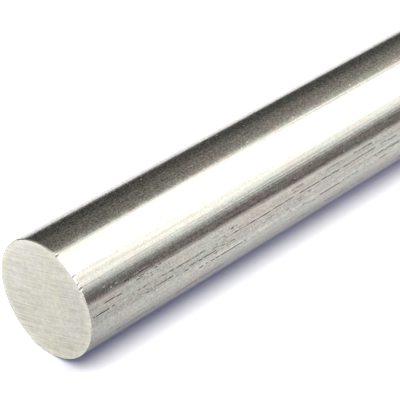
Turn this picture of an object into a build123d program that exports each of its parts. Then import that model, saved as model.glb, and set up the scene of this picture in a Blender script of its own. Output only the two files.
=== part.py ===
"""Round metal bar: one cut length of solid, bright drawn round stock.

The bar lies on a level surface. Its axis runs along X, and its lowest line
touches Z = 0 at the origin, half way along. Both ends are sawn square to the
axis, and the sharp edge that the saw leaves is broken all round.

All sizes are in millimetres.
"""

import os

from build123d import *

# Driving dimensions
bar_diameter = 25.0  # stock size, across the drawn surface
bar_length = 300.0  # cut length, from sawn face to sawn face
edge_break = 0.2  # depth of the 45 degree edge break, on the face and along the bar

# Places worked out from the driving dimensions
axis_height = bar_diameter / 2  # the bar rests on its own lowest line
near_face_x = -bar_length / 2  # the sawn face that looks along -X

# Looks along +X from the near face, on the bar's axis, with its own x towards +Z
near_face = Plane(origin=(near_face_x, 0, axis_height), x_dir=(0, 0, 1), z_dir=(1, 0, 0))


def make_round_bar():
    """Draws the stock out of its round section, then breaks both sawn edges."""
    with BuildPart() as round_bar:
        # The drawn stock, cut square to length
        with BuildSketch(near_face):
            Circle(bar_diameter / 2)
        extrude(amount=bar_length)

        # The edge break, a light pass of a file round each sawn face
        sawn_faces = round_bar.faces().filter_by(Axis.X)
        chamfer(sawn_faces.edges(), length=edge_break)

    round_bar.part.label = "round_bar"
    return round_bar.part


def main():
    """Builds the bar and writes it as one STEP file."""
    os.makedirs("parts", exist_ok=True)
    part = make_round_bar()
    export_step(part, f"parts/{part.label}.step")


main()
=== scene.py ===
"""Round metal bar: the looks of one cut length of bright drawn round bar on a pale floor.

The bar lies along X, and its lowest line touches Z = 0. Angles round the bar are
measured from +Y, through the top at 90 degrees, to -Y at 180. All sizes are in metres.
"""

import logging
import math
import random
from dataclasses import dataclass, field
from enum import Enum
from typing import Any, Optional, Union

import bpy
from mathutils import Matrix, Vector


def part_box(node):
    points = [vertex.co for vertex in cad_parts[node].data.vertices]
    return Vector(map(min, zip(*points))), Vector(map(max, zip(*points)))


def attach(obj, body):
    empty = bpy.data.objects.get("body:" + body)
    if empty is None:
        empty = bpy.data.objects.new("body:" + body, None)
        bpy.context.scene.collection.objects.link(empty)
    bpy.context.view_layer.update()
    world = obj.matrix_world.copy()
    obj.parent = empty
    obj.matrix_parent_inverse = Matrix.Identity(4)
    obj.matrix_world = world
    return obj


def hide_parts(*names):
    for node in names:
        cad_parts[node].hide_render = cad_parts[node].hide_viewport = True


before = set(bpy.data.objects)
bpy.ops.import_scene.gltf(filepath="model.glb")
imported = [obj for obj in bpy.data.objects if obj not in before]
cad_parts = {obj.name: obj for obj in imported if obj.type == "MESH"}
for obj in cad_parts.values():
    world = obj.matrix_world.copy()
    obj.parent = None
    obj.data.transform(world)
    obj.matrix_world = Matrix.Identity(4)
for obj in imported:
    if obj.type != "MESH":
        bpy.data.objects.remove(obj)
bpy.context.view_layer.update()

MM = 0.001
MICRON = 0.000001

# Most of a noise lies between these
NOISE_SPAN = (0.3, 0.7)

# A nick starts to look dark where it is pushed in by the first depth, and is darkest from the second
NICK_DEPTHS = (0.04 * MM, 0.11 * MM)
NICK_DARKNESS = 0.85

Colour = tuple[float, float, float]
Span = tuple[float, float]
Source = Union[bpy.types.NodeSocket, bpy.types.Material, Colour, float, int, str]

log = logging.getLogger("round_bar")


class BarEnd(Enum):
    """One of the two sawn ends. The value is the sign of X there."""

    NEAR = -1
    FAR = 1


class Zone(Enum):
    """A stretch of the bar's skin that has a finish of its own. The value is the number its faces carry."""

    DRAWN_SURFACE = 0
    SAWN_FACE = 1
    BROKEN_EDGE = 2


class Draw(Enum):
    """What a seeded draw is for. The value is added to the bar's seed."""

    UNSEEN_RUNS = 0
    UNSEEN_NICKS = 1
    PITS = 2
    SEEN_SPOTS = 4
    UNSEEN_SPOTS = 5
    EDGE_WEAR = 8


class Graph:
    """Adds nodes to a node tree and joins them, so that a tree reads from its inputs to its output."""

    def __init__(self, tree: bpy.types.NodeTree) -> None:
        """Empties the tree.

        Args:
            tree: The shader or geometry tree to fill.
        """
        self.tree = tree
        tree.nodes.clear()

    def add(self, kind: str, inputs: Optional[dict[Any, Source]] = None, **settings: Any) -> bpy.types.Node:
        """Adds one node.

        Args:
            kind: The node's type, without the part of its name before "Node".
            inputs: What goes into each of its sockets, by the socket's name or number.
            settings: The node's own properties.

        Returns:
            The new node.
        """
        family = "Geometry" if self.tree.bl_idname == "GeometryNodeTree" else "Shader"
        known_names = (family + "Node" + kind, "ShaderNode" + kind, "FunctionNode" + kind, "Node" + kind)
        type_name = next(name for name in known_names if hasattr(bpy.types, name))
        node = self.tree.nodes.new(type_name)
        for name, value in settings.items():
            setattr(node, name, value)
        for socket, value in (inputs or {}).items():
            self.join(node.inputs[socket], value)
        return node

    def join(self, socket: bpy.types.NodeSocket, value: Source) -> None:
        """Links a socket to another, or sets its value.

        Args:
            socket: The input to fill.
            value: An output socket, or the value itself. A colour may come without its alpha.
        """
        if isinstance(value, bpy.types.NodeSocket):
            self.tree.links.new(value, socket)
        elif socket.type == "RGBA":
            socket.default_value = (*value, 1.0)
        else:
            socket.default_value = value

    def math(self, operation: str, *values: Source) -> bpy.types.NodeSocket:
        """Adds a Math node.

        Args:
            operation: What it does, such as "DIVIDE".
            values: Its numbers, in order.

        Returns:
            The result.
        """
        return self.add("Math", dict(enumerate(values)), operation=operation).outputs[0]

    def chain(self, operation: str, values: tuple[Source, ...]) -> bpy.types.NodeSocket:
        """Works through two or more numbers, one Math node after another.

        Args:
            operation: What each node does, such as "ADD".
            values: The numbers, in order.

        Returns:
            The result.
        """
        result = values[0]
        for value in values[1:]:
            result = self.math(operation, result, value)
        return result

    def total(self, *values: Source) -> bpy.types.NodeSocket:
        """Adds up two or more numbers."""
        return self.chain("ADD", values)

    def product(self, *values: Source) -> bpy.types.NodeSocket:
        """Multiplies two or more numbers."""
        return self.chain("MULTIPLY", values)

    def greatest(self, *values: Source) -> bpy.types.NodeSocket:
        """Picks the greatest of two or more numbers."""
        return self.chain("MAXIMUM", values)

    def ranged(self, value: Source, span: Span, result: Span = (0.0, 1.0),
               unit: float = 1.0) -> bpy.types.NodeSocket:
        """Maps a number from one span to another, and keeps it in there.

        Args:
            value: The number.
            span: Where the first span starts and ends.
            result: What its start and its end become.
            unit: What the first span is given in shares of.

        Returns:
            The mapped number.
        """
        low, high = (edge * unit for edge in span)
        node = self.add("MapRange", {0: value, 1: low, 2: high, 3: result[0], 4: result[1]}, clamp=True)
        return node.outputs[0]

    def mix(self, share: Source, first: Source, second: Source) -> bpy.types.NodeSocket:
        """Mixes two colours.

        Args:
            share: How much of the second, from 0 to 1.
            first: The colour at 0.
            second: The colour at 1.

        Returns:
            The mixed colour.
        """
        node = self.add("Mix", data_type="RGBA")
        self.join(node.inputs["Factor"], share)
        colours = [socket for socket in node.inputs if socket.type == "RGBA"]
        self.join(colours[0], first)
        self.join(colours[1], second)
        return next(socket for socket in node.outputs if socket.type == "RGBA")

    def noise(self, place: Source, scale: float, detail: float = 2.0,
              roughness: float = 0.5) -> bpy.types.NodeSocket:
        """Adds a noise texture.

        Args:
            place: The coordinates it reads.
            scale: How many grains there are to each unit of the coordinates.
            detail: How many finer layers it has.
            roughness: How strong those layers are.

        Returns:
            The noise, from 0 to 1.
        """
        inputs = {"Vector": place, "Scale": scale, "Detail": detail, "Roughness": roughness}
        return self.add("TexNoise", inputs).outputs[0]

    def place(self) -> bpy.types.NodeSocket:
        """Reads a point's place in the object's own coordinates."""
        return self.add("TexCoord").outputs["Object"]

    def split(self, place: Source) -> bpy.types.NodeOutputs:
        """Splits a place into its parts, which go by the names X, Y and Z."""
        return self.add("SeparateXYZ", {0: place}).outputs

    def attribute(self, name: str) -> bpy.types.NodeSocket:
        """Reads a number that the mesh's points carry, in a material."""
        return self.add("Attribute", attribute_name=name).outputs["Fac"]

    def carried(self, name: str, data_type: str = "FLOAT") -> bpy.types.NodeSocket:
        """Reads a number that the mesh carries, in a geometry tree."""
        return self.add("InputNamedAttribute", {"Name": name}, data_type=data_type).outputs["Attribute"]

    def reach(self, offset: Source) -> bpy.types.NodeSocket:
        """Measures how long a vector is."""
        return self.add("VectorMath", {0: offset}, operation="LENGTH").outputs["Value"]

    def along_bar(self, place: Source, length: float, width: float) -> bpy.types.NodeSocket:
        """Scales the coordinates so that one unit is a length along the bar and a width across it."""
        return self.add("Mapping", {"Vector": place, "Scale": (1 / length, 1 / width, 1 / width)}).outputs[0]

    def swing(self, noise: Source, amount: float) -> bpy.types.NodeSocket:
        """Turns a noise into a number that swings round nought by an amount each way."""
        return self.ranged(noise, NOISE_SPAN, (-amount, amount))

    def shaded(self, colour: Source, shade: Source) -> bpy.types.NodeSocket:
        """Scales a colour, or any other vector, by a factor."""
        return self.add("VectorMath", {0: colour, "Scale": shade}, operation="SCALE").outputs[0]


def new_material(name: str) -> tuple[bpy.types.Material, Graph]:
    """Starts a material.

    Args:
        name: What the material is called.

    Returns:
        The material, and the graph to fill.
    """
    material = bpy.data.materials.new(name)
    material.use_nodes = True
    return material, Graph(material.node_tree)


def new_object(name: str, data: bpy.types.ID) -> bpy.types.Object:
    """Puts a mesh or a light into the scene.

    Args:
        name: What the object is called.
        data: The mesh or the light.

    Returns:
        The object.
    """
    made = bpy.data.objects.new(name, data)
    bpy.context.scene.collection.objects.link(made)
    return made


def end_metal(graph: Graph, colour: Source, roughness: Source, height: Source, depth: float,
              more: Optional[dict[str, Source]] = None) -> None:
    """Ends a metal's graph with its shader, under a bump.

    Args:
        graph: The material's graph.
        colour: The metal's colour.
        roughness: Its roughness.
        height: The bump's height, as a share of its depth.
        depth: The bump's full depth.
        more: Further inputs of the shader, by name.
    """
    bump = graph.add("Bump", {"Height": height, "Distance": depth, "Strength": 1.0})
    shader = graph.add("BsdfPrincipled", {
        "Base Color": colour,
        "Metallic": 1.0,
        "Roughness": roughness,
        "Normal": bump.outputs[0],
        **(more or {}),
    })
    graph.add("OutputMaterial", {"Surface": shader.outputs[0]})


def end_glow(material: bpy.types.Material, graph: Graph, colour: Source, strength: float) -> None:
    """Ends a glowing material's graph. It shows in the metal and isn't sampled as a lamp.

    Args:
        material: The material.
        graph: Its graph.
        colour: The glow's colour.
        strength: How bright it is.
    """
    glow = graph.add("Emission", {"Color": colour, "Strength": strength})
    graph.add("OutputMaterial", {"Surface": glow.outputs[0]})
    material.cycles.emission_sampling = "NONE"


def show_only_in_metal(piece: bpy.types.Object) -> None:
    """Hides a piece of the stage from the camera and from matt things, and takes away its shadow."""
    piece.visible_camera = piece.visible_diffuse = piece.visible_shadow = False


def nick_darkness(graph: Graph) -> bpy.types.NodeSocket:
    """Works out how dark a point is, from how far a nick pushes it in."""
    return graph.ranged(graph.attribute("dented"), NICK_DEPTHS, (0.0, NICK_DARKNESS))


@dataclass(frozen=True)
class LongMarks:
    """A noise of marks that lie one way: their length and width, and how much finer detail they have."""

    length: float
    width: float
    detail: float
    roughness: float = 0.5

    def on_skin(self, graph: Graph, place: Source) -> bpy.types.NodeSocket:
        """Adds the noise to the drawn skin, with its marks along the bar."""
        return graph.noise(graph.along_bar(place, self.length, self.width), 1.0, self.detail, self.roughness)

    def on_face(self, graph: Graph, along: Source, across: Source) -> bpy.types.NodeSocket:
        """Adds the noise to a sawn face, with its marks along the saw's lines.

        Args:
            graph: The material's graph.
            along: How far a point lies along the lines.
            across: How far it lies across them.

        Returns:
            The noise, from 0 to 1.
        """
        place = graph.add("CombineXYZ", {
            0: graph.math("DIVIDE", along, self.length),
            1: graph.math("DIVIDE", across, self.width),
        }).outputs[0]
        return graph.noise(place, 1.0, self.detail, self.roughness)


@dataclass(frozen=True)
class SkinMark:
    """A small oval mark on the drawn skin, by its distance from the near face and its angle round the bar."""

    distance: float
    angle_deg: float
    length: float
    width: float
    soft_edge: Span = (0.75, 1.15)

    def share(self, graph: Graph, near_end: float, radius: float,
              raggedness: Source) -> bpy.types.NodeSocket:
        """Works out how much of the mark a point shows.

        Args:
            graph: The material's graph.
            near_end: Where the near end lies along X.
            radius: The bar's radius.
            raggedness: A small number that swings round nought, for an uneven outline.

        Returns:
            The share, 1 inside the mark and 0 beyond it.
        """
        turn = math.radians(self.angle_deg)
        centre = (near_end + self.distance, radius * math.cos(turn), radius + radius * math.sin(turn))
        offset = graph.add("VectorMath", {0: graph.place(), 1: centre}, operation="SUBTRACT").outputs[0]
        reach = graph.reach(graph.along_bar(offset, self.length / 2, self.width / 2))
        return graph.ranged(graph.total(reach, raggedness), self.soft_edge, (1.0, 0.0))


@dataclass(frozen=True)
class DrawnFinish:
    """The skin that the die leaves: bright, with fine lines along the bar, speckled, with a painted glint on
    small rougher specks, and torn here and there.

    Where it changes across the bar is a span of Y, in shares of the radius. The shoulder
    is the narrow stretch of the near flank that shows as a thin dark band.
    """

    name: str = "bright_drawn_steel"
    colour: Colour = (0.516, 0.508, 0.456)
    green_tint: Colour = (0.494, 0.506, 0.446)
    warm_patch: Colour = (0.525, 0.487, 0.437)
    stain_colour: Colour = (0.505, 0.425, 0.405)
    torn_colour: Colour = (0.052, 0.046, 0.043)
    pit_colour: Colour = (0.012, 0.011, 0.010)
    roughness: float = 0.14
    roughness_swing: float = 0.03
    torn_roughness: float = 0.50
    anisotropy: float = 0.25

    lines: LongMarks = LongMarks(60 * MM, 0.30 * MM, detail=3.0, roughness=0.6)
    line_height: float = 14.0 * MICRON
    line_shade: float = 0.20
    far_back_line_shade: float = 0.36
    bands: LongMarks = LongMarks(90 * MM, 0.95 * MM, detail=1.0)
    band_height: float = 10.0 * MICRON

    grain: LongMarks = LongMarks(0.42 * MM, 0.34 * MM, detail=2.0, roughness=0.65)
    grain_height: float = 0.3 * MICRON
    flank_grain: float = 0.28
    flank_end: Span = (-0.88, -0.78)
    crown_grain: float = 0.12
    back_grain: float = 0.52
    back_start: Span = (-0.30, -0.10)
    far_back_grain: float = 0.34
    far_back_start: Span = (0.03, 0.18)

    shoulder_start: Span = (-0.96, -0.93)
    shoulder_end: Span = (-0.87, -0.84)
    streaks: LongMarks = LongMarks(24 * MM, 0.26 * MM, detail=2.0, roughness=0.6)
    streak_edge: Span = (0.50, 0.66)
    streak_shades: Span = (0.05, -0.19)
    stains: LongMarks = LongMarks(5 * MM, 1.1 * MM, detail=3.0, roughness=0.6)
    stain_edge: Span = (0.48, 0.60)
    stain_share: float = 0.85

    tint_width: float = 1.6 * MM
    tint_detail: float = 3.0
    tint_roughness: float = 0.65
    tint_edge: Span = (0.35, 0.65)
    tint_shade: float = 0.06
    patch_width: float = 6 * MM
    patch_edge: Span = (0.42, 0.62)
    speck_spacing: float = 2.4 * MM
    speck_size: float = 0.075
    speck_edge: Span = (0.5, 1.0)
    # A speck is a rougher spot; its lighter colour is painted glint
    speck_painted_glint: float = 0.3
    speck_roughness: float = 0.30

    torn_edge: Span = (0.03, 0.34)
    deep_pit_edge: Span = (0.80, 1.10)
    mark_raggedness: float = 0.5
    black_pit: SkinMark = SkinMark(10.4 * MM, 156.5, 2.2 * MM, 0.58 * MM)
    black_pit_share: float = 0.85
    flecks: tuple[SkinMark, ...] = (
        SkinMark(5.0 * MM, 151.9, 0.46 * MM, 0.34 * MM),
        SkinMark(6.5 * MM, 155.1, 0.50 * MM, 0.26 * MM),
        SkinMark(8.0 * MM, 154.2, 0.80 * MM, 0.26 * MM),
    )
    fleck_roughness: float = 0.30
    near_end_shade: float = 0.84
    near_end_length: float = 32 * MM

    def material(self, near_end: float, radius: float) -> bpy.types.Material:
        """Builds the material from noises on the bar's own coordinates.

        Args:
            near_end: Where the near end lies along X. The skin is a little darker towards it.
            radius: The bar's radius. The grain is faint over the crown, on the near side of the top.

        Returns:
            The finished material.
        """
        material, graph = new_material(self.name)
        place = graph.place()
        split = graph.split(place)
        lines = self.lines.on_skin(graph, place)
        bands = self.bands.on_skin(graph, place)
        grain = self.grain.on_skin(graph, place)
        tints = graph.noise(place, 1 / self.tint_width, self.tint_detail, self.tint_roughness)
        cells = graph.add("TexVoronoi", {"Vector": place, "Scale": 1 / self.speck_spacing})
        speck = graph.ranged(cells.outputs["Distance"], self.speck_edge, (1.0, 0.0), self.speck_size)
        shoulder = graph.product(graph.ranged(split["Y"], self.shoulder_start, unit=radius),
                                 graph.ranged(split["Y"], self.shoulder_end, (1.0, 0.0), radius))

        # The torn pits and the nicks are dark, and so is the one black pit
        torn = graph.attribute("torn")
        ragged = graph.swing(grain, self.mark_raggedness)
        black_pit = self.black_pit.share(graph, near_end, radius, ragged)
        flecks = [mark.share(graph, near_end, radius, ragged) for mark in self.flecks]
        dark_share = graph.greatest(graph.ranged(torn, self.torn_edge), nick_darkness(graph),
                                    graph.product(black_pit, self.black_pit_share))
        dark = graph.mix(graph.ranged(torn, self.deep_pit_edge), self.torn_colour, self.pit_colour)

        # The sound skin
        streaks = graph.ranged(self.streaks.on_skin(graph, place), self.streak_edge, self.streak_shades)
        # The specks' lighter colour in this shade is painted glint
        shade = graph.total(1.0, *self._grained(graph, split["Y"], grain, lines, radius),
                            graph.product(shoulder, streaks), graph.swing(tints, self.tint_shade),
                            graph.product(speck, self.speck_painted_glint))
        end_shade = graph.ranged(split["X"], (near_end, near_end + self.near_end_length),
                                 (self.near_end_shade, 1.0))
        sound = graph.shaded(self._tinted(graph, place, tints, shoulder), graph.product(end_shade, shade))

        worn = graph.total(self.roughness, graph.swing(grain, self.roughness_swing),
                           graph.swing(tints, self.roughness_swing),
                           graph.product(speck, self.speck_roughness),
                           graph.product(graph.total(*flecks), self.fleck_roughness))
        rough = graph.add("Mix", {0: dark_share, 2: worn, 3: self.torn_roughness}).outputs[0]
        height = graph.total(graph.product(lines, self.line_height), graph.product(bands, self.band_height),
                             graph.product(grain, self.grain_height))
        tangent = graph.add("Tangent", direction_type="RADIAL", axis="X").outputs[0]
        end_metal(graph, graph.mix(dark_share, sound, dark), rough, height, 1.0,
                  {"Anisotropic": self.anisotropy, "Tangent": tangent})
        return material

    def _grained(self, graph: Graph, across: Source, grain: Source, lines: Source,
                 radius: float) -> tuple[bpy.types.NodeSocket, bpy.types.NodeSocket]:
        """Works out how the speckle and the lines shade the skin. Both are strongest at the far back.

        Args:
            graph: The material's graph.
            across: How far a point lies across the bar, along Y.
            grain: The speckle's noise.
            lines: The lines' noise.
            radius: The bar's radius.

        Returns:
            What the speckle and what the lines add to the shade.
        """
        flank = graph.ranged(across, self.flank_end, (self.flank_grain, self.crown_grain), radius)
        back = graph.ranged(across, self.back_start, (self.crown_grain, self.back_grain), radius)
        far_back = graph.ranged(across, self.far_back_start, unit=radius)
        grain_share = graph.total(graph.greatest(flank, back),
                                  graph.product(far_back, self.far_back_grain))
        line_share = graph.ranged(far_back, (0.0, 1.0), (self.line_shade, self.far_back_line_shade))
        return (graph.product(graph.swing(grain, 1.0), grain_share),
                graph.product(graph.swing(lines, 1.0), line_share))

    def _tinted(self, graph: Graph, place: Source, tints: Source, shoulder: Source) -> bpy.types.NodeSocket:
        """Mixes the sound skin's colour from its tints, its warm patches and the shoulder's stains.

        Args:
            graph: The material's graph.
            place: The bar's own coordinates.
            tints: The tints' noise.
            shoulder: The shoulder's share, 1 on it and 0 elsewhere.

        Returns:
            The colour, before it is shaded.
        """
        tinted = graph.mix(graph.ranged(tints, self.tint_edge), self.colour, self.green_tint)
        patches = graph.noise(place, 1 / self.patch_width, self.tint_detail)
        patched = graph.mix(graph.ranged(patches, self.patch_edge), tinted, self.warm_patch)
        stains = graph.ranged(self.stains.on_skin(graph, place), self.stain_edge, (0.0, self.stain_share))
        return graph.mix(graph.product(shoulder, stains), patched, self.stain_colour)


@dataclass(frozen=True)
class SawnFinish:
    """The cut face: fresh pale metal, satin, ruled by the saw and scratched by its teeth.

    It is paler at its rim. Towards its top and its far side it is painted lighter, and darker
    opposite, as painted light; how far a point lies that way is its Y and its height added up, in shares of
    the radius.
    """

    name: str = "sawn_steel"
    colour: Colour = (0.666, 0.648, 0.530)
    pink_tint: Colour = (0.666, 0.640, 0.553)
    dark_colour: Colour = (0.120, 0.110, 0.100)
    roughness: float = 0.46
    roughness_below: float = 0.05
    roughness_above: float = 0.06
    lines: LongMarks = LongMarks(12 * MM, 0.30 * MM, detail=1.0, roughness=0.6)
    line_shade: float = 0.11
    scratches: LongMarks = LongMarks(5 * MM, 0.11 * MM, detail=3.0, roughness=0.6)
    scratch_shade: float = 0.16
    scratch_height: float = 5.0 * MICRON
    cloud_width: float = 0.8 * MM
    cloud_detail: float = 4.0
    cloud_roughness: float = 0.65
    cloud_shade: float = 0.12
    tint_width: float = 5 * MM
    tint_edge: Span = (0.40, 0.60)
    rim_start: Span = (0.84, 0.97)
    rim_gain: float = 0.14
    # Painted light: how much lighter the face is towards its top and far side, and darker opposite, and over
    # what reach
    painted_light_side: float = 0.145
    painted_light_reach: Span = (-0.4, 2.4)

    def material(self, radius: float) -> bpy.types.Material:
        """Builds the material. It reads how far a point lies along and across the saw's lines.

        Args:
            radius: The bar's radius.

        Returns:
            The finished material.
        """
        material, graph = new_material(self.name)
        place = graph.place()
        along, across = graph.attribute("saw_along"), graph.attribute("saw_across")
        lines = self.lines.on_face(graph, along, across)
        scratches = self.scratches.on_face(graph, along, across)
        clouds = graph.noise(place, 1 / self.cloud_width, self.cloud_detail, self.cloud_roughness)
        tints = graph.noise(place, 1 / self.tint_width)

        split = graph.split(place)
        # Painted light: lighter towards the top and far side, darker towards the bottom and near side
        pale = graph.ranged(graph.total(split["Y"], split["Z"]), self.painted_light_reach,
                            (-self.painted_light_side, self.painted_light_side), radius)
        rim = graph.ranged(graph.attribute("rim"), self.rim_start, (0.0, self.rim_gain))
        shade = graph.total(1.0, graph.swing(lines, self.line_shade),
                            graph.swing(scratches, self.scratch_shade),
                            graph.swing(clouds, self.cloud_shade), pale, rim)
        tinted = graph.mix(graph.ranged(tints, self.tint_edge), self.colour, self.pink_tint)
        colour = graph.mix(nick_darkness(graph), graph.shaded(tinted, shade), self.dark_colour)
        rough = graph.ranged(scratches, NOISE_SPAN, (self.roughness - self.roughness_below,
                                                     self.roughness + self.roughness_above))
        end_metal(graph, colour, rough, scratches, self.scratch_height)
        return material


@dataclass(frozen=True)
class BrokenEdgeFinish:
    """The filed edge round each cut: the brightest metal on the bar, its pale colour partly a painted
    highlight along the edge, with file marks and small dark nicks.
    """

    name: str = "filed_edge_steel"
    # Fresh filed metal, made paler still to carry a painted highlight along the edge
    colour: Colour = (0.800, 0.785, 0.740)
    dull_colour: Colour = (0.540, 0.525, 0.480)
    dark_colour: Colour = (0.090, 0.080, 0.070)
    roughness: float = 0.36
    roughness_below: float = 0.06
    roughness_above: float = 0.08
    grain_width: float = 0.45 * MM
    grain_height: float = 8.0 * MICRON
    dull_edge: Span = (0.40, 0.70)

    def material(self) -> bpy.types.Material:
        """Builds the material from a fine noise on the bar's own coordinates.

        Returns:
            The finished material.
        """
        material, graph = new_material(self.name)
        grain = graph.noise(graph.place(), 1 / self.grain_width)
        filed = graph.mix(graph.ranged(grain, self.dull_edge), self.colour, self.dull_colour)
        colour = graph.mix(nick_darkness(graph), filed, self.dark_colour)
        rough = graph.ranged(grain, NOISE_SPAN, (self.roughness - self.roughness_below,
                                                 self.roughness + self.roughness_above))
        end_metal(graph, colour, rough, grain, self.grain_height)
        return material


@dataclass(frozen=True)
class TornRun:
    """A stretch of a die line where the skin is torn into a row of short pits."""

    angle_deg: float
    start: float
    end: float
    strength: float = 1.0


@dataclass(frozen=True)
class EdgeNick:
    """A dent in the broken edge of one end."""

    end: BarEnd
    angle_deg: float
    width: float
    depth: float


@dataclass
class SkinDraft:
    """The bar's skin while it is drawn: its points, its faces, and what each of them carries."""

    points: list[tuple[float, float, float]] = field(default_factory=list)
    faces: list[tuple[int, ...]] = field(default_factory=list)
    zones: list[int] = field(default_factory=list)
    torn: list[float] = field(default_factory=list)
    sawn: list[float] = field(default_factory=list)
    dented: list[float] = field(default_factory=list)

    def point(self, place: tuple[float, float, float], torn: float = 0.0, sawn: float = 0.0,
              dented: float = 0.0) -> int:
        """Adds a point.

        Args:
            place: Where it is.
            torn: How deep the skin is torn there, from 0 to 1.
            sawn: How much of the saw's relief it takes, from 0 to 1.
            dented: How far a dent pushes it in, in metres.

        Returns:
            The point's number.
        """
        self.points.append(place)
        self.torn.append(torn)
        self.sawn.append(sawn)
        self.dented.append(dented)
        return len(self.points) - 1

    def face(self, corners: list[int], zone: Zone, flip: bool = False) -> None:
        """Adds a face.

        Args:
            corners: Its points, in order.
            zone: Which finish it has.
            flip: Whether it looks the other way.
        """
        self.faces.append(tuple(reversed(corners)) if flip else tuple(corners))
        self.zones.append(zone.value)

    def mesh(self, name: str) -> bpy.types.Mesh:
        """Turns the draft into a mesh.

        Args:
            name: What the mesh is called.

        Returns:
            The mesh, with the draft's values as attributes.
        """
        mesh = bpy.data.meshes.new(name)
        mesh.from_pydata(self.points, [], self.faces)
        carried = (("torn", "FLOAT", "POINT", self.torn), ("sawn", "FLOAT", "POINT", self.sawn),
                   ("dented", "FLOAT", "POINT", self.dented), ("zone", "INT", "FACE", self.zones))
        for attribute, kind, domain, values in carried:
            mesh.attributes.new(attribute, kind, domain).data.foreach_set("value", values)
        mesh.shade_smooth()
        return mesh


@dataclass(frozen=True)
class TearHabits:
    """How the die tears the skin, which the seeded draws keep to.

    Angles are in degrees. A pit and the sound skin after it are so many rows long, and a
    depth is a share of the full depth. Runs follow each other along a line until one ends
    within the last stretch before the far face.
    """

    pit_rows: tuple[int, ...] = (2, 3, 5, 8, 12, 18)
    sound_rows: tuple[int, ...] = (1, 1, 2)
    sways: tuple[int, ...] = (-1, 0, 0, 1)
    pit_depth: Span = (0.6, 1.0)
    row_depth: Span = (0.55, 1.0)
    side_depth: float = 0.40
    far_side_lines: int = 6
    far_side_angles: Span = (282.0, 325.0)
    underside_lines: int = 2
    underside_angles: Span = (200.0, 280.0)
    first_place: float = 3 * MM
    run_gap: Span = (3 * MM, 26 * MM)
    run_length: Span = (3 * MM, 15 * MM)
    run_strength: Span = (0.5, 1.0)
    shortest_run: float = 1 * MM
    last_stretch: float = 16 * MM
    end_margin: float = 4 * MM
    spots: int = 60
    spot_length: Span = (0.75 * MM, 2.4 * MM)
    spot_strength: Span = (0.25, 0.75)
    flank_spot_angles: Span = (160.0, 190.0)
    far_side_spot_angles: Span = (280.0, 328.0)
    spot_margin: float = 5 * MM


@dataclass(frozen=True)
class EdgeHabits:
    """How the broken edges are worn, and where the seeded draws nick them out of sight."""

    wear: float = 0.03 * MM
    wear_sharpness: int = 3
    near_nicks: int = 4
    near_nick_angles: Span = (205.0, 415.0)
    far_nicks: int = 9
    far_nick_angles: Span = (0.0, 360.0)
    nick_width: Span = (0.3 * MM, 0.8 * MM)
    nick_depth: Span = (0.05 * MM, 0.15 * MM)
    lip_relief: float = 0.1
    shoulder_dent: float = 0.3


@dataclass(frozen=True)
class SawMarks:
    """The saw's relief: bowed lines of one pitch that drift, and are deeper in some places.

    The two patterns give how many grains there are to a metre, along the lines and across
    them. The drift is in pitches, and the least depth is a share of the full depth.
    """

    pitch: float = 0.72 * MM
    depth: float = 0.012 * MM
    bow: float = 180 * MM
    near_deg: float = 163.0
    far_deg: float = 58.0
    drift: float = 7.0
    drift_pattern: Span = (70.0, 450.0)
    drift_detail: float = 1.0
    least_depth: float = 0.25
    depth_pattern: Span = (120.0, 260.0)
    depth_detail: float = 2.0
    depth_seed_step: float = 20.0


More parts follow.
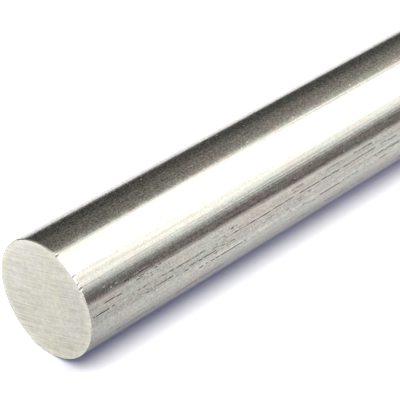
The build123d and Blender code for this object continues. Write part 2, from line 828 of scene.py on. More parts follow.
@dataclass
class DrawnBar:
    """The bar: drawn skin, two sawn faces and the broken edge between them, as one closed piece.

    Places along it are distances from the near face. Its skin is cut into columns round
    the bar, and into rows along it.
    """

    diameter: float
    length: float
    edge_break: float = 0.2 * MM
    seed: int = 7
    columns: int = 960
    coarse_row: float = 20 * MM
    fine_rows: tuple[float, ...] = (0.25 * MM, 0.6 * MM, 1.2 * MM)
    torn_row: float = 0.35 * MM
    torn_reach: int = 2
    torn_depth: float = 0.03 * MM
    torn_lines: tuple[float, ...] = (165.0, 171.9, 178.5, 187.3)
    seen_length: float = 92 * MM
    face_band: float = 0.3 * MM
    face_columns: int = 20
    sharp_deg: float = 30.0
    tears: TearHabits = TearHabits()
    edges: EdgeHabits = EdgeHabits()
    saw: SawMarks = SawMarks()
    runs: list[TornRun] = field(default_factory=list)
    nicks: list[EdgeNick] = field(default_factory=list)

    def __post_init__(self) -> None:
        """Fills in the torn runs and nicks that the photograph shows, and those round the rest of the bar."""
        if not self.runs:
            self.runs = self._seen_runs() + self._seen_spots() + self._unseen_runs() + self._unseen_spots()
        if not self.nicks:
            self.nicks = self._seen_nicks() + self._unseen_nicks()

    @property
    def radius(self) -> float:
        """Half the bar's diameter."""
        return self.diameter / 2

    def _seen_runs(self) -> list[TornRun]:
        """Lists the torn runs on the near flank, by their distance from the near face.

        Returns:
            The runs, die line by die line.
        """
        upper, main, middle, lower = self.torn_lines
        beside_upper, beside_middle = 166.5, 180.3
        return [
            TornRun(upper, 3.8 * MM, 8.8 * MM, 0.7),
            TornRun(upper, 56 * MM, 60 * MM, 0.5),
            TornRun(upper, 67 * MM, 72.5 * MM, 0.5),
            TornRun(upper, 75.6 * MM, 82 * MM, 0.6),
            TornRun(beside_upper, 38 * MM, 40.3 * MM, 1.0),
            TornRun(main, 0.6 * MM, 6.6 * MM, 1.0),
            TornRun(main, 12.2 * MM, 15 * MM, 0.6),
            TornRun(main, 18.6 * MM, 31 * MM, 0.8),
            TornRun(main, 38.6 * MM, 56.6 * MM, 0.8),
            TornRun(main, 58 * MM, 71.6 * MM, 1.0),
            TornRun(main, 71.8 * MM, 83 * MM, 0.7),
            TornRun(main, 84 * MM, 90 * MM, 0.6),
            TornRun(middle, 14 * MM, 22 * MM, 0.8),
            TornRun(middle, 26 * MM, 33.8 * MM, 0.9),
            TornRun(middle, 36 * MM, 41 * MM, 0.8),
            TornRun(middle, 48 * MM, 51 * MM, 0.8),
            TornRun(beside_middle, 82 * MM, 91 * MM, 0.9),
            TornRun(lower, 28.8 * MM, 43 * MM, 1.0),
            TornRun(lower, 59 * MM, 61 * MM, 0.7),
            TornRun(lower, 64.7 * MM, 77.5 * MM, 0.9),
            TornRun(lower, 84 * MM, 87 * MM, 0.6),
        ]

    def _seen_spots(self) -> list[TornRun]:
        """Lists the single pits on the near flank, and a cluster of small ones by a seeded draw.

        Returns:
            The pits, each as a very short run.
        """
        single = [
            TornRun(156.2, 9.3 * MM, 11.9 * MM, 1.6),
            TornRun(156.6, 9.5 * MM, 11.4 * MM, 1.6),
            TornRun(157.0, 9.2 * MM, 11.2 * MM, 1.2),
            TornRun(156.4, 13.2 * MM, 16.2 * MM, 0.9),
            TornRun(161.0, 17.2 * MM, 18.3 * MM, 0.9),
            TornRun(175.3, 60.8 * MM, 62.4 * MM, 0.9),
            TornRun(181.2, 24.8 * MM, 26.0 * MM, 0.9),
            TornRun(185.2, 55.0 * MM, 56.2 * MM, 0.7),
            TornRun(189.4, 62.4 * MM, 63.6 * MM, 0.7),
        ]
        draw = self._random(Draw.SEEN_SPOTS)
        scattered = self._spots(draw, count=18, angles=(168.0, 182.0), places=(12 * MM, 58 * MM))
        scattered += self._spots(draw, count=12, angles=(167.0, 179.0), places=(33 * MM, 42 * MM))
        scattered += self._spots(draw, count=7, angles=(160.0, 168.0), places=(12 * MM, 19 * MM))
        return single + scattered

    def _unseen_runs(self) -> list[TornRun]:
        """Carries the torn die lines on along the bar, and tears more lines on its far side and underside.

        Returns:
            The runs, by a seeded draw.
        """
        draw, tears = self._random(Draw.UNSEEN_RUNS), self.tears
        torn_lines = [(angle, self.seen_length) for angle in self.torn_lines]
        torn_lines += [(draw.uniform(*tears.far_side_angles), tears.first_place)
                       for _ in range(tears.far_side_lines)]
        torn_lines += [(draw.uniform(*tears.underside_angles), tears.first_place)
                       for _ in range(tears.underside_lines)]
        runs = []
        for angle, place in torn_lines:
            while place < self.length - tears.last_stretch:
                start = place + draw.uniform(*tears.run_gap)
                place = min(start + draw.uniform(*tears.run_length), self.length - tears.end_margin)
                if place > start + tears.shortest_run:
                    runs.append(TornRun(angle, start, place, draw.uniform(*tears.run_strength)))
        return runs

    def _unseen_spots(self) -> list[TornRun]:
        """Scatters small pits round the torn parts of the near flank and the far side.

        Returns:
            The pits, by a seeded draw.
        """
        draw, tears = self._random(Draw.UNSEEN_SPOTS), self.tears
        last = self.length - tears.spot_margin
        flank = self._spots(draw, tears.spots, tears.flank_spot_angles, (self.seen_length, last))
        far_side = self._spots(draw, tears.spots, tears.far_side_spot_angles, (tears.spot_margin, last))
        return flank + far_side

    def _spots(self, draw: random.Random, count: int, angles: Span, places: Span) -> list[TornRun]:
        """Scatters small pits over one stretch of the skin.

        Args:
            draw: Where the random numbers come from.
            count: How many pits.
            angles: The stretch's first and last angle, in degrees.
            places: Its start and end, as distances from the near face.

        Returns:
            The pits, each as a very short run.
        """
        spots = []
        for _ in range(count):
            start = draw.uniform(*places)
            spot_length = draw.uniform(*self.tears.spot_length)
            spots.append(TornRun(draw.uniform(*angles), start, start + spot_length,
                                 draw.uniform(*self.tears.spot_strength)))
        return spots

    def _seen_nicks(self) -> list[EdgeNick]:
        """Lists the dents on the near end's broken edge.

        Returns:
            The dents that the photograph shows.
        """
        return [
            EdgeNick(BarEnd.NEAR, 107.5, 0.5 * MM, 0.12 * MM),
            EdgeNick(BarEnd.NEAR, 131.3, 0.4 * MM, 0.08 * MM),
            EdgeNick(BarEnd.NEAR, 139.0, 0.4 * MM, 0.09 * MM),
            EdgeNick(BarEnd.NEAR, 143.5, 0.6 * MM, 0.12 * MM),
        ]

    def _unseen_nicks(self) -> list[EdgeNick]:
        """Scatters a few more dents, on both ends.

        Returns:
            The dents, by a seeded draw.
        """
        draw, edges = self._random(Draw.UNSEEN_NICKS), self.edges
        near = [self._random_nick(draw, BarEnd.NEAR, edges.near_nick_angles) for _ in range(edges.near_nicks)]
        far = [self._random_nick(draw, BarEnd.FAR, edges.far_nick_angles) for _ in range(edges.far_nicks)]
        return near + far

    def _random_nick(self, draw: random.Random, end: BarEnd, angles: Span) -> EdgeNick:
        """Draws one dent of an end's edge between two angles."""
        return EdgeNick(end, draw.uniform(*angles), draw.uniform(*self.edges.nick_width),
                        draw.uniform(*self.edges.nick_depth))

    def _random(self, purpose: Draw, shift: int = 0) -> random.Random:
        """Starts the seeded draw for one purpose."""
        return random.Random(self.seed + purpose.value + shift)

    def _column_at(self, angle_deg: float) -> int:
        """Finds the column nearest to an angle round the bar."""
        return round(angle_deg / 360.0 * self.columns)

    def _place(self, x: float, radius: float, column: float) -> tuple[float, float, float]:
        """Finds a place by its distance along the bar, its distance from the axis and its column."""
        angle = 2 * math.pi * column / self.columns
        return x, radius * math.cos(angle), self.radius + radius * math.sin(angle)

    def _edge_dents(self, end: BarEnd) -> list[float]:
        """Works out how far wear and nicks push one end's edge in.

        Args:
            end: Which end.

        Returns:
            The depth in metres, column by column.
        """
        draw = self._random(Draw.EDGE_WEAR, shift=end.value)
        rough = [draw.random() ** self.edges.wear_sharpness for _ in range(self.columns)]
        depths = []
        for column in range(self.columns):
            # Each column takes the mean of its own roughness and its two neighbours'
            three = rough[column - 1] + rough[column] + rough[(column + 1) % self.columns]
            wear = self.edges.wear * three / 3
            angle = 360.0 * column / self.columns
            nicked = [self._nick_depth(nick, angle) for nick in self.nicks if nick.end is end]
            depths.append(wear + max(nicked))
        return depths

    def _nick_depth(self, nick: EdgeNick, angle: float) -> float:
        """Works out how deep one nick is at one angle round the bar.

        Args:
            nick: The nick.
            angle: The angle, in degrees.

        Returns:
            The depth, which falls off smoothly to nought on both sides.
        """
        turn = math.radians((angle - nick.angle_deg + 180.0) % 360.0 - 180.0)
        reach = min(1.0, abs(turn) * self.radius / (nick.width / 2))
        return nick.depth * (0.5 + 0.5 * math.cos(math.pi * reach))

    def _skin_rows(self) -> list[int]:
        """Lists where every strip of the drawn skin is cut, which is more often close to its ends.

        Returns:
            The places, in microns from the bar's middle.
        """
        edge = self.length / 2 - self.edge_break
        count = round(2 * edge / self.coarse_row)
        rows = [-edge + 2 * edge * index / count for index in range(count + 1)]
        near_edge = [edge - distance for distance in self.fine_rows]
        return sorted(round(x / MICRON) for x in rows + near_edge + [-x for x in near_edge])

    def _torn_values(self) -> dict[tuple[int, int], float]:
        """Tears each run into pits that sway a little from side to side, with sound skin between them.

        Returns:
            The share of the full depth, by column and by place in microns from the bar's middle.
        """
        draw, tears = self._random(Draw.PITS), self.tears
        step = round(self.torn_row / MICRON)
        values: dict[tuple[int, int], float] = {}
        for run in self.runs:
            middle = self._column_at(run.angle_deg)
            first = round((run.start - self.length / 2) / MICRON)
            rows = range(first, round((run.end - self.length / 2) / MICRON), step)
            for x in rows:
                for offset in range(-self.torn_reach, self.torn_reach + 1):
                    values.setdefault(((middle + offset) % self.columns, x), 0.0)
            inner = list(rows)[1:-1]
            while inner:
                pit_rows = draw.choice(tears.pit_rows)
                sway = draw.choice(tears.sways)
                depth = draw.uniform(*tears.pit_depth) * run.strength
                for x in inner[:pit_rows]:
                    for offset, share in ((-1, tears.side_depth), (0, 1.0), (1, tears.side_depth)):
                        key = ((middle + sway + offset) % self.columns, x)
                        row_depth = share * depth * draw.uniform(*tears.row_depth)
                        values[key] = max(values.get(key, 0.0), row_depth)
                inner = inner[pit_rows + draw.choice(tears.sound_rows):]
        return values

    def _drawn_skin(self, draft: SkinDraft) -> dict[BarEnd, list[int]]:
        """Draws the skin as narrow strips along the bar. A strip beside a torn run is cut finely there.

        Args:
            draft: The skin being drawn.

        Returns:
            The ring of points at each end.
        """
        rows = self._skin_rows()
        torn = self._torn_values()
        cuts = [set(rows) for _ in range(self.columns)]
        for column, x in torn:
            cuts[column].add(x)
            cuts[column - 1].add(x)

        lines: list[dict[int, int]] = []
        for column in range(self.columns):
            line = {}
            for x in sorted(cuts[column] | cuts[column - 1]):
                depth = torn.get((column, x), 0.0)
                line[x] = draft.point(self._place(x * MICRON, self.radius, column), torn=depth)
            lines.append(line)

        # A strip takes in every point on both its sides, so no crack opens where its neighbour is cut finer
        for column in range(self.columns):
            here, there = lines[column], lines[(column + 1) % self.columns]
            breaks = sorted(cuts[column])
            for low, high in zip(breaks, breaks[1:]):
                up = [there[x] for x in there if low <= x <= high]
                down = [here[x] for x in reversed(here) if low <= x <= high]
                draft.face(up + down, Zone.DRAWN_SURFACE)
        return {
            BarEnd.NEAR: [line[rows[0]] for line in lines],
            BarEnd.FAR: [line[rows[-1]] for line in lines],
        }

    def _ring(self, draft: SkinDraft, end: BarEnd, radius: float, sawn: float, dents: list[float],
              dent_share: float) -> list[int]:
        """Adds a ring of points to one end's face.

        Args:
            draft: The skin being drawn.
            end: Which end.
            radius: How far the ring lies from the axis.
            sawn: How much of the saw's relief it takes.
            dents: How far the end's edge is pushed in, column by column.
            dent_share: How much of that the ring takes.

        Returns:
            The ring's points.
        """
        x = end.value * self.length / 2
        return [draft.point(self._place(x, radius, column), sawn=sawn, dented=dent_share * dents[column])
                for column in range(self.columns)]

    def _band(self, draft: SkinDraft, end: BarEnd, outer: list[int], inner: list[int], zone: Zone) -> None:
        """Joins two rings of one end by a band of faces that look outwards.

        Args:
            draft: The skin being drawn.
            end: Which end.
            outer: The ring nearer to the drawn skin.
            inner: The ring nearer to the axis.
            zone: The band's finish.
        """
        for column in range(self.columns):
            after = (column + 1) % self.columns
            corners = [outer[column], outer[after], inner[after], inner[column]]
            draft.face(corners, zone, flip=end is BarEnd.NEAR)

    def _sawn_face(self, draft: SkinDraft, end: BarEnd, rim: list[int], radius: float) -> None:
        """Fills one end with rows that run along the saw's lines, from rim to rim.

        Args:
            draft: The skin being drawn.
            end: Which end.
            rim: The face's outermost ring.
            radius: That ring's radius.
        """
        saw_deg = self.saw.near_deg if end is BarEnd.NEAR else self.saw.far_deg
        quarter = self.columns // 4
        top = self._column_at(saw_deg) + quarter
        half = self.columns // 2
        x = end.value * self.length / 2

        above = [rim[top % self.columns]] * (self.face_columns + 1)
        for row in range(1, half + 1):
            left, right = (top + row) % self.columns, (top - row) % self.columns
            if row < half:
                start = self._place(x, radius, left)
                stop = self._place(x, radius, right)
                middle = []
                for column in range(1, self.face_columns):
                    share = column / self.face_columns
                    place = tuple(a + (b - a) * share for a, b in zip(start, stop))
                    middle.append(draft.point(place, sawn=1.0))
                here = [rim[left], *middle, rim[right]]
            else:
                here = [rim[left]] * (self.face_columns + 1)
            for column in range(self.face_columns):
                corners = [above[column], here[column], here[column + 1], above[column + 1]]
                corners = list(dict.fromkeys(corners))
                if len(corners) > 2:
                    draft.face(corners, Zone.SAWN_FACE, flip=end is BarEnd.NEAR)
            above = here

    def _draft(self) -> SkinDraft:
        """Draws the whole skin, smooth apart from what its points carry.

        Returns:
            The draft.
        """
        draft = SkinDraft()
        edge_rings = self._drawn_skin(draft)
        face_radius = self.radius - self.edge_break
        inner_radius = face_radius - self.face_band
        for end, edge in edge_rings.items():
            dents = self._edge_dents(end)
            for column, point in enumerate(edge):
                draft.dented[point] = dents[column]
            lip = self._ring(draft, end, face_radius, sawn=self.edges.lip_relief, dents=dents,
                             dent_share=1.0)
            shoulder = self._ring(draft, end, face_radius - self.face_band / 2, sawn=1.0, dents=dents,
                                  dent_share=self.edges.shoulder_dent)
            rim = self._ring(draft, end, inner_radius, sawn=1.0, dents=dents, dent_share=0.0)
            self._band(draft, end, edge, lip, Zone.BROKEN_EDGE)
            self._band(draft, end, lip, shoulder, Zone.SAWN_FACE)
            self._band(draft, end, shoulder, rim, Zone.SAWN_FACE)
            self._sawn_face(draft, end, rim, inner_radius)
        return draft

    def _relief_tree(self) -> bpy.types.NodeTree:
        """Builds the tree that presses the saw's lines, the torn pits and the nicks into the skin.

        Returns:
            The tree. Its inputs carry the sizes by name.
        """
        tree = bpy.data.node_groups.new("bar_relief", "GeometryNodeTree")
        graph = Graph(tree)
        self._name_sockets(tree)
        given = graph.add("GroupInput").outputs

        # How far each point lies along and across the saw's lines of its own end
        split = graph.split(graph.add("InputPosition").outputs[0])
        height = graph.math("SUBTRACT", split["Z"], given["Radius"])
        is_far = graph.math("GREATER_THAN", split["X"], 0.0)
        turn = graph.math("SUBTRACT", given["Far saw angle"], given["Near saw angle"])
        saw_angle = graph.math("MULTIPLY_ADD", is_far, turn, given["Near saw angle"])
        cosine, sine = graph.math("COSINE", saw_angle), graph.math("SINE", saw_angle)
        along = graph.total(graph.product(split["Y"], cosine), graph.product(height, sine))
        straight = graph.math("SUBTRACT", graph.product(height, cosine), graph.product(split["Y"], sine))
        bow = graph.math("DIVIDE", graph.product(along, along), graph.product(given["Saw bow"], 2.0))
        across = graph.total(straight, bow)

        # Every push goes into the metal: along the bar from its ends, and towards the axis
        dent = graph.carried("dented")
        push_x = graph.product(graph.ranged(is_far, (0.0, 1.0), (1.0, -1.0)),
                               graph.total(self._saw_relief(graph, given, along, across), dent))
        push_radial = graph.total(dent, graph.product(graph.carried("torn"), given["Torn depth"]))
        outward = graph.add("CombineXYZ", {1: split["Y"], 2: height}).outputs[0]
        unit = graph.add("VectorMath", {0: outward}, operation="NORMALIZE").outputs[0]
        radial = graph.shaded(unit, graph.product(push_radial, -1.0))
        axial = graph.add("CombineXYZ", {0: push_x}).outputs[0]
        offset = graph.add("VectorMath", {0: radial, 1: axial}, operation="ADD").outputs[0]

        reach = graph.math("DIVIDE", graph.reach(outward), given["Radius"])
        skin = given["Geometry"]
        for name, value in (("saw_along", along), ("saw_across", across), ("rim", reach)):
            skin = graph.add("StoreNamedAttribute", {"Geometry": skin, "Name": name, "Value": value},
                             data_type="FLOAT", domain="POINT").outputs[0]
        skin = graph.add("SetPosition", {"Geometry": skin, "Offset": offset}).outputs[0]
        graph.add("GroupOutput", {0: self._dressed(graph, given, skin)})
        return tree

    def _name_sockets(self, tree: bpy.types.NodeTree) -> None:
        """Gives the relief tree its inputs and its output.

        Args:
            tree: The relief tree.
        """
        sizes = ("Radius", "Saw pitch", "Saw depth", "Saw bow", "Near saw angle", "Far saw angle",
                 "Torn depth")
        inputs = [("Geometry", "Geometry"), *((name, "Float") for name in sizes), ("Seed", "Int")]
        inputs += [(name, "Material") for name in ("Drawn skin", "Sawn face", "Broken edge")]
        for name, kind in inputs:
            tree.interface.new_socket(name, in_out="INPUT", socket_type="NodeSocket" + kind)
        tree.interface.new_socket("Geometry", in_out="OUTPUT", socket_type="NodeSocketGeometry")

    def _saw_relief(self, graph: Graph, given: bpy.types.NodeOutputs, along: Source,
                    across: Source) -> bpy.types.NodeSocket:
        """Works out how deep the saw's lines are: a wave that drifts, and is deeper in some places.

        Args:
            graph: The relief tree's graph.
            given: The tree's inputs.
            along: How far a point lies along the saw's lines.
            across: How far it lies across them.

        Returns:
            The depth.
        """
        saw = self.saw
        drift = self._patches(graph, along, across, given["Seed"], saw.drift_pattern, saw.drift_detail)
        pitches = graph.math("DIVIDE", across, given["Saw pitch"])
        phase = graph.math("MULTIPLY_ADD", drift, saw.drift, pitches)
        wave = graph.ranged(graph.math("COSINE", graph.product(phase, 2 * math.pi)), (-1.0, 1.0))
        depth_seed = graph.total(given["Seed"], saw.depth_seed_step)
        depths = self._patches(graph, along, across, depth_seed, saw.depth_pattern, saw.depth_detail)
        depth_share = graph.ranged(depths, NOISE_SPAN, (saw.least_depth, 1.0))
        return graph.product(graph.product(wave, depth_share),
                             graph.product(graph.carried("sawn"), given["Saw depth"]))

    def _patches(self, graph: Graph, along: Source, across: Source, seed: Source, pattern: Span,
                 detail: float) -> bpy.types.NodeSocket:
        """Adds a noise that lies along the saw's lines.

        Args:
            graph: The relief tree's graph.
            along: How far a point lies along the saw's lines.
            across: How far it lies across them.
            seed: What tells the noise from another one.
            pattern: How many grains there are to a metre, along and across.
            detail: How many finer layers the noise has.

        Returns:
            The noise, from 0 to 1.
        """
        place = graph.add("CombineXYZ", {
            0: graph.product(along, pattern[0]),
            1: graph.product(across, pattern[1]),
            2: seed,
        }).outputs[0]
        return graph.noise(place, 1.0, detail)

    def _dressed(self, graph: Graph, given: bpy.types.NodeOutputs, skin: Source) -> bpy.types.NodeSocket:
        """Gives each zone of the skin its own finish.

        Args:
            graph: The relief tree's graph.
            given: The tree's inputs, among them the three finishes.
            skin: The bar's skin.

        Returns:
            The dressed skin.
        """
        zone = graph.carried("zone", "INT")
        for finish, wanted in (("Drawn skin", Zone.DRAWN_SURFACE), ("Sawn face", Zone.SAWN_FACE),
                               ("Broken edge", Zone.BROKEN_EDGE)):
            chosen = graph.math("COMPARE", zone, float(wanted.value), 0.5)
            skin = graph.add("SetMaterial", {"Geometry": skin, "Selection": chosen,
                                             "Material": given[finish]}).outputs[0]
        return graph.add("RealizeInstances", {"Geometry": skin}).outputs[0]

    def build(self) -> bpy.types.Object:
        """Makes the bar, dressed in its three finishes.

        Returns:
            The bar, as a plain mesh whose place is in its points.
        """
        carrier = new_object("bar_carrier", self._draft().mesh("bar_draft"))
        tree = self._relief_tree()
        modifier = carrier.modifiers.new("relief", "NODES")
        modifier.node_group = tree
        sizes = {
            "Radius": self.radius,
            "Saw pitch": self.saw.pitch,
            "Saw depth": self.saw.depth,
            "Saw bow": self.saw.bow,
            "Near saw angle": math.radians(self.saw.near_deg),
            "Far saw angle": math.radians(self.saw.far_deg),
            "Torn depth": self.torn_depth,
            "Seed": self.seed,
            "Drawn skin": DrawnFinish().material(near_end=-self.length / 2, radius=self.radius),
            "Sawn face": SawnFinish().material(radius=self.radius),
            "Broken edge": BrokenEdgeFinish().material(),
        }
        for item in tree.interface.items_tree:
            if item.in_out == "INPUT" and item.name in sizes:
                modifier[item.identifier] = sizes[item.name]

        graph = bpy.context.evaluated_depsgraph_get()
        mesh = bpy.data.meshes.new_from_object(carrier.evaluated_get(graph), preserve_all_data_layers=True,
                                               depsgraph=graph)
        mesh.name = "round_bar_drawn"
        mesh.set_sharp_from_angle(angle=math.radians(self.sharp_deg))
        bar = new_object("round_bar_drawn", mesh)
        bpy.data.objects.remove(carrier)
        return bar


@dataclass(frozen=True)
class TentStop:
    """How bright the reflection tent is at one angle round the bar, nearer to the camera and further on."""

    angle_deg: float
    near: float
    far: float
    tint: Colour = (1.0, 1.0, 1.0)


@dataclass(frozen=True)
class ReflectionTent:
    """A long tent bent round the bar: bright overhead and on the camera's side, dark behind the bar.

    Only the metal sees it. The light that falls on things comes from the overhead light.
    """

    radius: float = 3.0
    half_length: float = 9.0
    segments: int = 90
    change: Span = (2.0, 2.7)
    stops: tuple[TentStop, ...] = (
        TentStop(0.0, 0.105, 0.105, (0.99, 1.00, 0.94)),
        TentStop(20.0, 0.105, 0.105, (0.99, 1.00, 0.93)),
        TentStop(28.0, 0.125, 0.125),
        TentStop(34.0, 0.20, 0.20, (1.04, 1.00, 0.93)),
        TentStop(48.0, 0.25, 0.33, (1.06, 1.00, 0.95)),
        TentStop(60.0, 0.28, 0.42, (1.05, 1.00, 0.95)),
        TentStop(70.0, 0.46, 0.58, (1.02, 1.00, 0.95)),
        TentStop(73.0, 0.56, 0.62, (1.01, 1.00, 0.95)),
        TentStop(79.0, 2.45, 1.40),
        TentStop(86.0, 2.50, 2.30),
        TentStop(94.0, 3.10, 3.10, (1.00, 1.00, 1.02)),
        TentStop(118.0, 3.10, 3.10, (1.00, 1.00, 1.02)),
        TentStop(134.0, 1.95, 2.00, (1.00, 1.00, 0.97)),
        TentStop(146.0, 1.88, 1.95, (0.99, 1.00, 1.01)),
        TentStop(157.0, 0.88, 1.03, (0.975, 1.00, 1.03)),
        TentStop(164.0, 0.46, 0.44, (0.99, 1.00, 1.01)),
        TentStop(168.0, 0.23, 0.23, (1.07, 1.00, 0.99)),
        TentStop(180.0, 0.225, 0.225, (1.09, 1.00, 0.99)),
    )

    def build(self) -> bpy.types.Object:
        """Makes the tent.

        Returns:
            The tent.
        """
        points, faces, shares = [], [], []
        for step in range(self.segments + 1):
            share = step / self.segments
            angle = math.pi * share
            for x in (-self.half_length, self.half_length):
                points.append((x, self.radius * math.cos(angle), self.radius * math.sin(angle)))
                shares.append(share)
            if step:
                first = 2 * step
                faces.append((first - 2, first - 1, first + 1, first))
        mesh = bpy.data.meshes.new("reflection_tent")
        mesh.from_pydata(points, [], faces)
        mesh.attributes.new("turn", "FLOAT", "POINT").data.foreach_set("value", shares)
        mesh.materials.append(self._material())
        tent = new_object("reflection_tent", mesh)
        show_only_in_metal(tent)
        return tent

    def _material(self) -> bpy.types.Material:
        """Builds the tent's glow, which follows the stops round the bar and changes along it.

        Returns:
            The material.
        """
        material, graph = new_material("reflection_tent")
        turn = graph.attribute("turn")
        near = self._ramp(graph, turn, [stop.near for stop in self.stops])
        far = self._ramp(graph, turn, [stop.far for stop in self.stops])
        along = graph.split(graph.place())["X"]
        colour = graph.mix(graph.ranged(along, self.change), near, far)
        end_glow(material, graph, colour, self._peak())
        return material

    def _peak(self) -> float:
        """Finds the tent's greatest brightness."""
        return max(max(stop.near, stop.far) for stop in self.stops)

    def _ramp(self, graph: Graph, turn: Source, levels: list[float]) -> bpy.types.NodeSocket:
        """Adds a colour ramp that follows the stops.

        Args:
            graph: The material's graph.
            turn: How far round the bar a point of the tent lies, from 0 to 1.
            levels: The brightness at each stop.

        Returns:
            The colour, as a share of the greatest brightness.
        """
        node = graph.add("ValToRGB", {0: turn})
        ramp = node.color_ramp
        while len(ramp.elements) < len(self.stops):
            ramp.elements.new(1.0)
        for element, stop, level in zip(ramp.elements, self.stops, levels):
            element.position = stop.angle_deg / 180.0
            element.color = (*(level / self._peak() * part for part in stop.tint), 1.0)
        return node.outputs[0]


@dataclass(frozen=True)
class OverheadLight:
    """The soft light overhead, a little to the camera's side. The metal shows the tent in its place."""

    across_deg: float = 100.0
    near_end_lean_deg: float = 18.0
    spread_deg: float = 66.0
    strength: float = 3.60

    def build(self) -> bpy.types.Object:
        """Makes the light.

        Returns:
            The light.
        """
        data = bpy.data.lights.new("overhead_light", "SUN")
        data.energy = self.strength
        data.angle = math.radians(self.spread_deg)
        light = new_object("overhead_light", data)
        turn = math.radians(self.across_deg)
        lean = math.tan(math.radians(self.near_end_lean_deg))
        towards = Vector((-lean, math.cos(turn), math.sin(turn)))
        light.rotation_euler = towards.to_track_quat("Z", "Y").to_euler()
        light.visible_glossy = False
        return light


@dataclass(frozen=True)
class DarkCard:
    """A dark card that stands along the bar, at a place across it. Only the metal sees it.

    Its foot may be raised as far as one place along the bar, and comes down to the floor at
    another.
    """

    name: str
    place: float
    height: float
    brightness: float
    tint: Colour
    raised: float = 0.0
    raised_until: float = -0.03
    on_floor_from: float = 0.06
    half_length: float = 3.0

    def build(self) -> bpy.types.Object:
        """Makes the card.

        Returns:
            The card.
        """
        x, y = self.half_length, self.place
        raised_foot = [(-x, y, self.raised), (self.raised_until, y, self.raised)]
        foot = raised_foot + [(self.on_floor_from, y, 0), (x, y, 0)]
        top = [(x, y, self.height), (-x, y, self.height)]
        mesh = bpy.data.meshes.new(self.name)
        mesh.from_pydata(foot + top, [], [(0, 1, 2, 3, 4, 5)])
        card = new_object(self.name, mesh)
        material, graph = new_material(self.name)
        end_glow(material, graph, self.tint, self.brightness)
        mesh.materials.append(material)
        show_only_in_metal(card)
        return card


@dataclass(frozen=True)
class Floor:
    """The pale floor, with painted light: a glow set by place makes it white to the camera and in the metal,
    keeps the bar's shadow dark close to the bar on the camera's side, and paints the shadow out behind the
    bar.

    Where its light changes is a span of Y in shares of the shadow's reach, or the same past
    the bar's ends. Only the change along the bar is a span of X, in shares of the shadow's end.
    """

    shadow_reach: float
    shadow_end: float
    half_size: float = 12.0
    colour: Colour = (0.82, 0.82, 0.81)
    # The lifts below are painted light: glows set by place, for the camera and for the metal
    shadow_lift: Colour = (0.027, 0.026, 0.092)
    open_lift: Colour = (0.33, 0.33, 0.355)
    open_before: Span = (-0.93, -0.56)
    open_past_ends: Span = (0.2, 1.0)
    behind_lift: Colour = (0.66, 0.66, 0.66)
    white_behind: Span = (0.05, 0.50)
    metal_near_lift: Colour = (0.035, 0.055, 0.115)
    metal_further_lift: Colour = (0.23, 0.24, 0.29)
    metal_further_along: Span = (-1.0, -0.4)
    metal_lift: Colour = (0.00, 0.005, 0.04)
    metal_beside: Span = (-0.72, -0.50)
    metal_before_lift: Colour = (0.085, 0.085, 0.080)
    metal_before: Span = (-4.0, -1.8)
    metal_behind_lift: Colour = (0.31, 0.31, 0.31)
    metal_behind: Span = (2.0, 5.0)

    def build(self) -> bpy.types.Object:
        """Makes the floor.

        Returns:
            The floor.
        """
        s = self.half_size
        mesh = bpy.data.meshes.new("floor")
        mesh.from_pydata([(-s, -s, 0), (s, -s, 0), (s, s, 0), (-s, s, 0)], [], [(0, 1, 2, 3)])
        floor = new_object("floor", mesh)
        material, graph = new_material("pale_floor")
        paper = graph.add("BsdfDiffuse", {"Color": self.colour})
        # Painted light: a glow set by place, added to the paper
        painted_glow = graph.add("Emission", {"Color": self._painted_glow_colour(graph), "Strength": 1.0})
        both = graph.add("AddShader", {0: paper.outputs[0], 1: painted_glow.outputs[0]})
        graph.add("OutputMaterial", {"Surface": both.outputs[0]})
        material.cycles.emission_sampling = "NONE"
        mesh.materials.append(material)
        return floor

    def _painted_glow_colour(self, graph: Graph) -> bpy.types.NodeSocket:
        """Works out the painted light: a glow set by place that only the camera and the metal see.

        Args:
            graph: The floor's graph.

        Returns:
            The glow's colour. It is least close to the bar, so the shadow stays dark; where it rises, it
            paints the shadow's edge.
        """
        reach = self.shadow_reach
        split = graph.split(graph.place())
        across = split["Y"]
        path = graph.add("LightPath").outputs

        # What the camera sees: painted light that shapes the shadow's edge, and paints the shadow out behind
        # the bar
        before = graph.ranged(across, self.open_before, (1.0, 0.0), reach)
        past_ends = tuple(self.shadow_end + share * reach for share in self.open_past_ends)
        beyond = graph.ranged(graph.math("ABSOLUTE", split["X"]), past_ends)
        behind = graph.ranged(across, self.white_behind, unit=reach)
        shown = graph.mix(graph.greatest(before, beyond), self.shadow_lift, self.open_lift)
        shown = graph.mix(behind, shown, self.behind_lift)
        to_camera = graph.mix(path["Is Camera Ray"], (0.0, 0.0, 0.0), shown)

        # What the metal mirrors: painted light that makes the floor brighter or dimmer in the reflection, by
        # place
        further = graph.ranged(split["X"], self.metal_further_along, unit=self.shadow_end)
        beside = graph.ranged(across, self.metal_beside, (1.0, 0.0), reach)
        far_before = graph.ranged(across, self.metal_before, (1.0, 0.0), reach)
        far_behind = graph.ranged(across, self.metal_behind, unit=reach)
        mirrored = graph.mix(further, self.metal_near_lift, self.metal_further_lift)
        mirrored = graph.mix(beside, mirrored, self.metal_lift)
        mirrored = graph.mix(far_before, mirrored, self.metal_before_lift)
        mirrored = graph.mix(far_behind, mirrored, self.metal_behind_lift)
        return graph.mix(self._by_metal(graph), to_camera, mirrored)

    def _by_metal(self, graph: Graph) -> bpy.types.NodeSocket:
        """Tells whether the floor is seen in the metal."""
        path = graph.add("LightPath").outputs
        return graph.greatest(path["Is Glossy Ray"], path["Is Transmission Ray"])


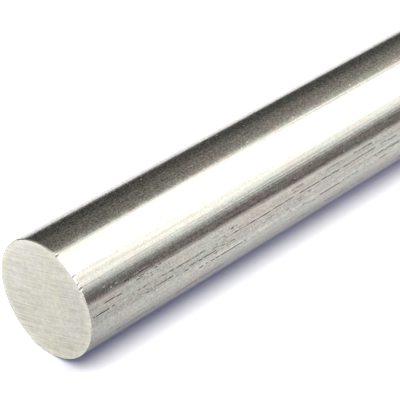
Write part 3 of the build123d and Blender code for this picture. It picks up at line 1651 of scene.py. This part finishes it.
@dataclass(frozen=True)
class Surroundings:
    """The world beyond the floor: white where it is seen, and a dim even light elsewhere."""

    white: Colour = (1.0, 1.0, 1.0)
    fill: Colour = (0.06, 0.06, 0.10)

    def build(self) -> None:
        """Makes the world."""
        world = bpy.data.worlds.new("surroundings")
        world.use_nodes = True
        bpy.context.scene.world = world
        graph = Graph(world.node_tree)
        path = graph.add("LightPath").outputs
        seen = graph.greatest(path["Is Camera Ray"], path["Is Glossy Ray"], path["Is Transmission Ray"])
        colour = graph.mix(seen, self.fill, self.white)
        light = graph.add("Background", {"Color": colour, "Strength": 1.0})
        graph.add("OutputWorld", {"Surface": light.outputs[0]})


@dataclass(frozen=True)
class PhotoCamera:
    """The camera, where it stood when it looked down along the bar from beside its near end."""

    behind: float = 0.1759
    beside: float = 0.2079
    above: float = 0.2014
    heading_deg: float = 46.36
    pitch_deg: float = 33.47
    lens_mm: float = 162.1
    sensor_mm: float = 36.0
    sees_from: float = 0.01
    sees_to: float = 50.0

    def build(self, near_face: Vector) -> bpy.types.Object:
        """Makes the camera and gives it to the scene.

        Args:
            near_face: The centre of the near face.

        Returns:
            The camera.
        """
        data = bpy.data.cameras.new("photo_camera")
        data.lens = self.lens_mm
        data.sensor_width = self.sensor_mm
        data.clip_start, data.clip_end = self.sees_from, self.sees_to
        camera = new_object("photo_camera", data)
        camera.location = near_face + Vector((-self.behind, -self.beside, self.above))
        camera.rotation_euler = (math.radians(90 - self.pitch_deg), 0.0, -math.radians(self.heading_deg))
        bpy.context.scene.camera = camera
        return camera


def main() -> None:
    """Builds the camera, the stage and the bar."""
    logging.basicConfig(level=logging.INFO, format="%(message)s")
    scene = bpy.context.scene
    scene.view_settings.view_transform = "Standard"

    low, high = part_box("round_bar")
    length, diameter = high.x - low.x, high.z - low.z
    near_face = Vector((low.x, 0.0, low.z + diameter / 2))

    PhotoCamera().build(near_face)
    Surroundings().build()
    stage = (
        Floor(shadow_reach=diameter / 2, shadow_end=length / 2),
        ReflectionTent(),
        OverheadLight(),
        DarkCard("low_card", place=-0.138, height=0.0506, brightness=0.245, tint=(1.06, 1.01, 1.00),
                 raised=0.0115),
        DarkCard("back_card", place=0.45, height=0.20, brightness=0.105, tint=(0.99, 1.00, 0.94)),
    )
    for piece in stage:
        log.info("stage: %s", piece.build().name)

    bar = DrawnBar(diameter=diameter, length=length).build()
    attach(bar, "root")
    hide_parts("round_bar")
    triangles = sum(len(face.vertices) - 2 for face in bar.data.polygons)
    log.info("piece: %s, %d triangles, finishes %s", bar.name, triangles,
             ", ".join(material.name for material in bar.data.materials if material))

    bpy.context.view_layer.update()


if __name__ == "__main__":
    main()
